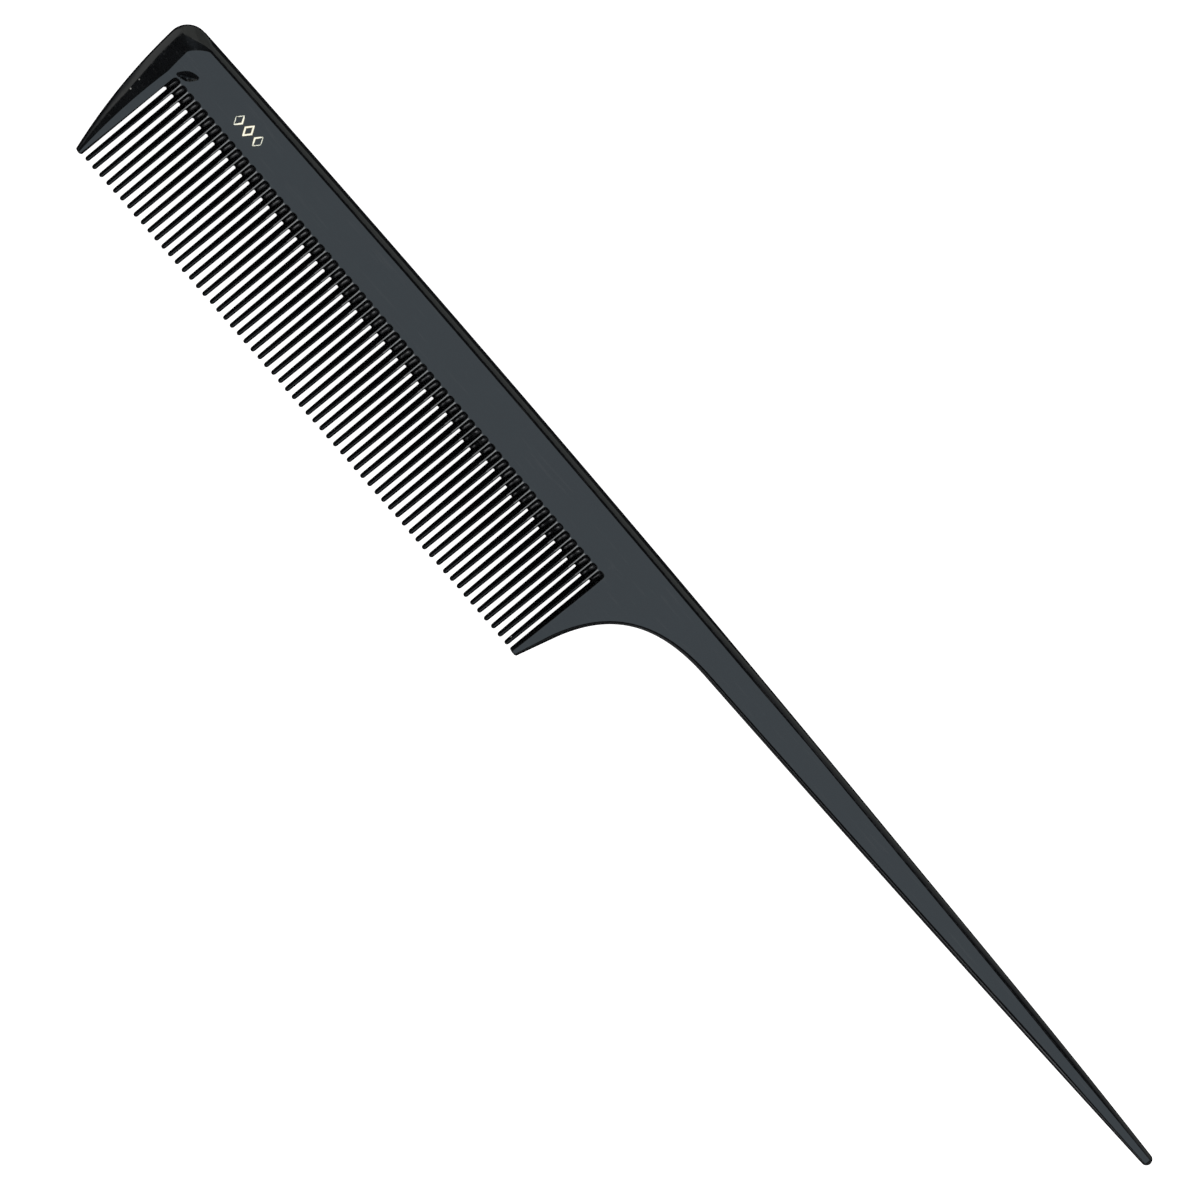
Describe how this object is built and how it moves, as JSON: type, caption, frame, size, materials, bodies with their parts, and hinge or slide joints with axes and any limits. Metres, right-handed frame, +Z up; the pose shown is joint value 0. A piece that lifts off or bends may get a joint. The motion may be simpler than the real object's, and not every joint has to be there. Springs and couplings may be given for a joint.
{
  "type": "rat tail comb",
  "caption": "Flat styling comb with fine parallel teeth between two end guards and a long tapering tail for parting hair.",
  "frame": {"origin": "centre of the underside of the bounding box, with the comb lying flat on the underside of its head", "axes": "+X along the comb to the tail's point, +Y from the tooth points to the back, +Z up through the thickness"},
  "size_m": [0.2161, 0.0252, 0.0044],
  "materials": {
    "comb_body": "polished black",
    "foil": "stamped gold foil"
  },
  "bodies": {
    "root": {"back_bead": "comb_body", "blade_web": "comb_body", "foil_lozenge_1": "foil", "foil_lozenge_2": "foil", "foil_lozenge_3": "foil", "front_end_guard": "comb_body", "heel": "comb_body", "neck": "comb_body", "rear_end_guard": "comb_body", "tail_shaft": "comb_body", "tail_tip": "comb_body", "teeth_01_02": "comb_body", "teeth_03_04": "comb_body", "teeth_05_06": "comb_body", "teeth_07_08": "comb_body", "teeth_09_10": "comb_body", "teeth_11_12": "comb_body", "teeth_13_14": "comb_body", "teeth_15_16": "comb_body", "teeth_17_18": "comb_body", "teeth_19_20": "comb_body", "teeth_21_22": "comb_body", "teeth_23_24": "comb_body", "teeth_25_26": "comb_body", "teeth_27_28": "comb_body", "teeth_29_30": "comb_body", "teeth_31_32": "comb_body", "teeth_33_34": "comb_body", "teeth_35_36": "comb_body", "teeth_37_38": "comb_body", "teeth_39_40": "comb_body", "teeth_41_42": "comb_body", "teeth_43_44": "comb_body", "teeth_45_46": "comb_body", "teeth_47_48": "comb_body", "teeth_49_50": "comb_body", "teeth_51_52": "comb_body", "teeth_53_54": "comb_body", "teeth_55_56": "comb_body", "teeth_57_58": "comb_body", "teeth_59_60": "comb_body", "teeth_61_62": "comb_body"}
  },
  "joints": []
}
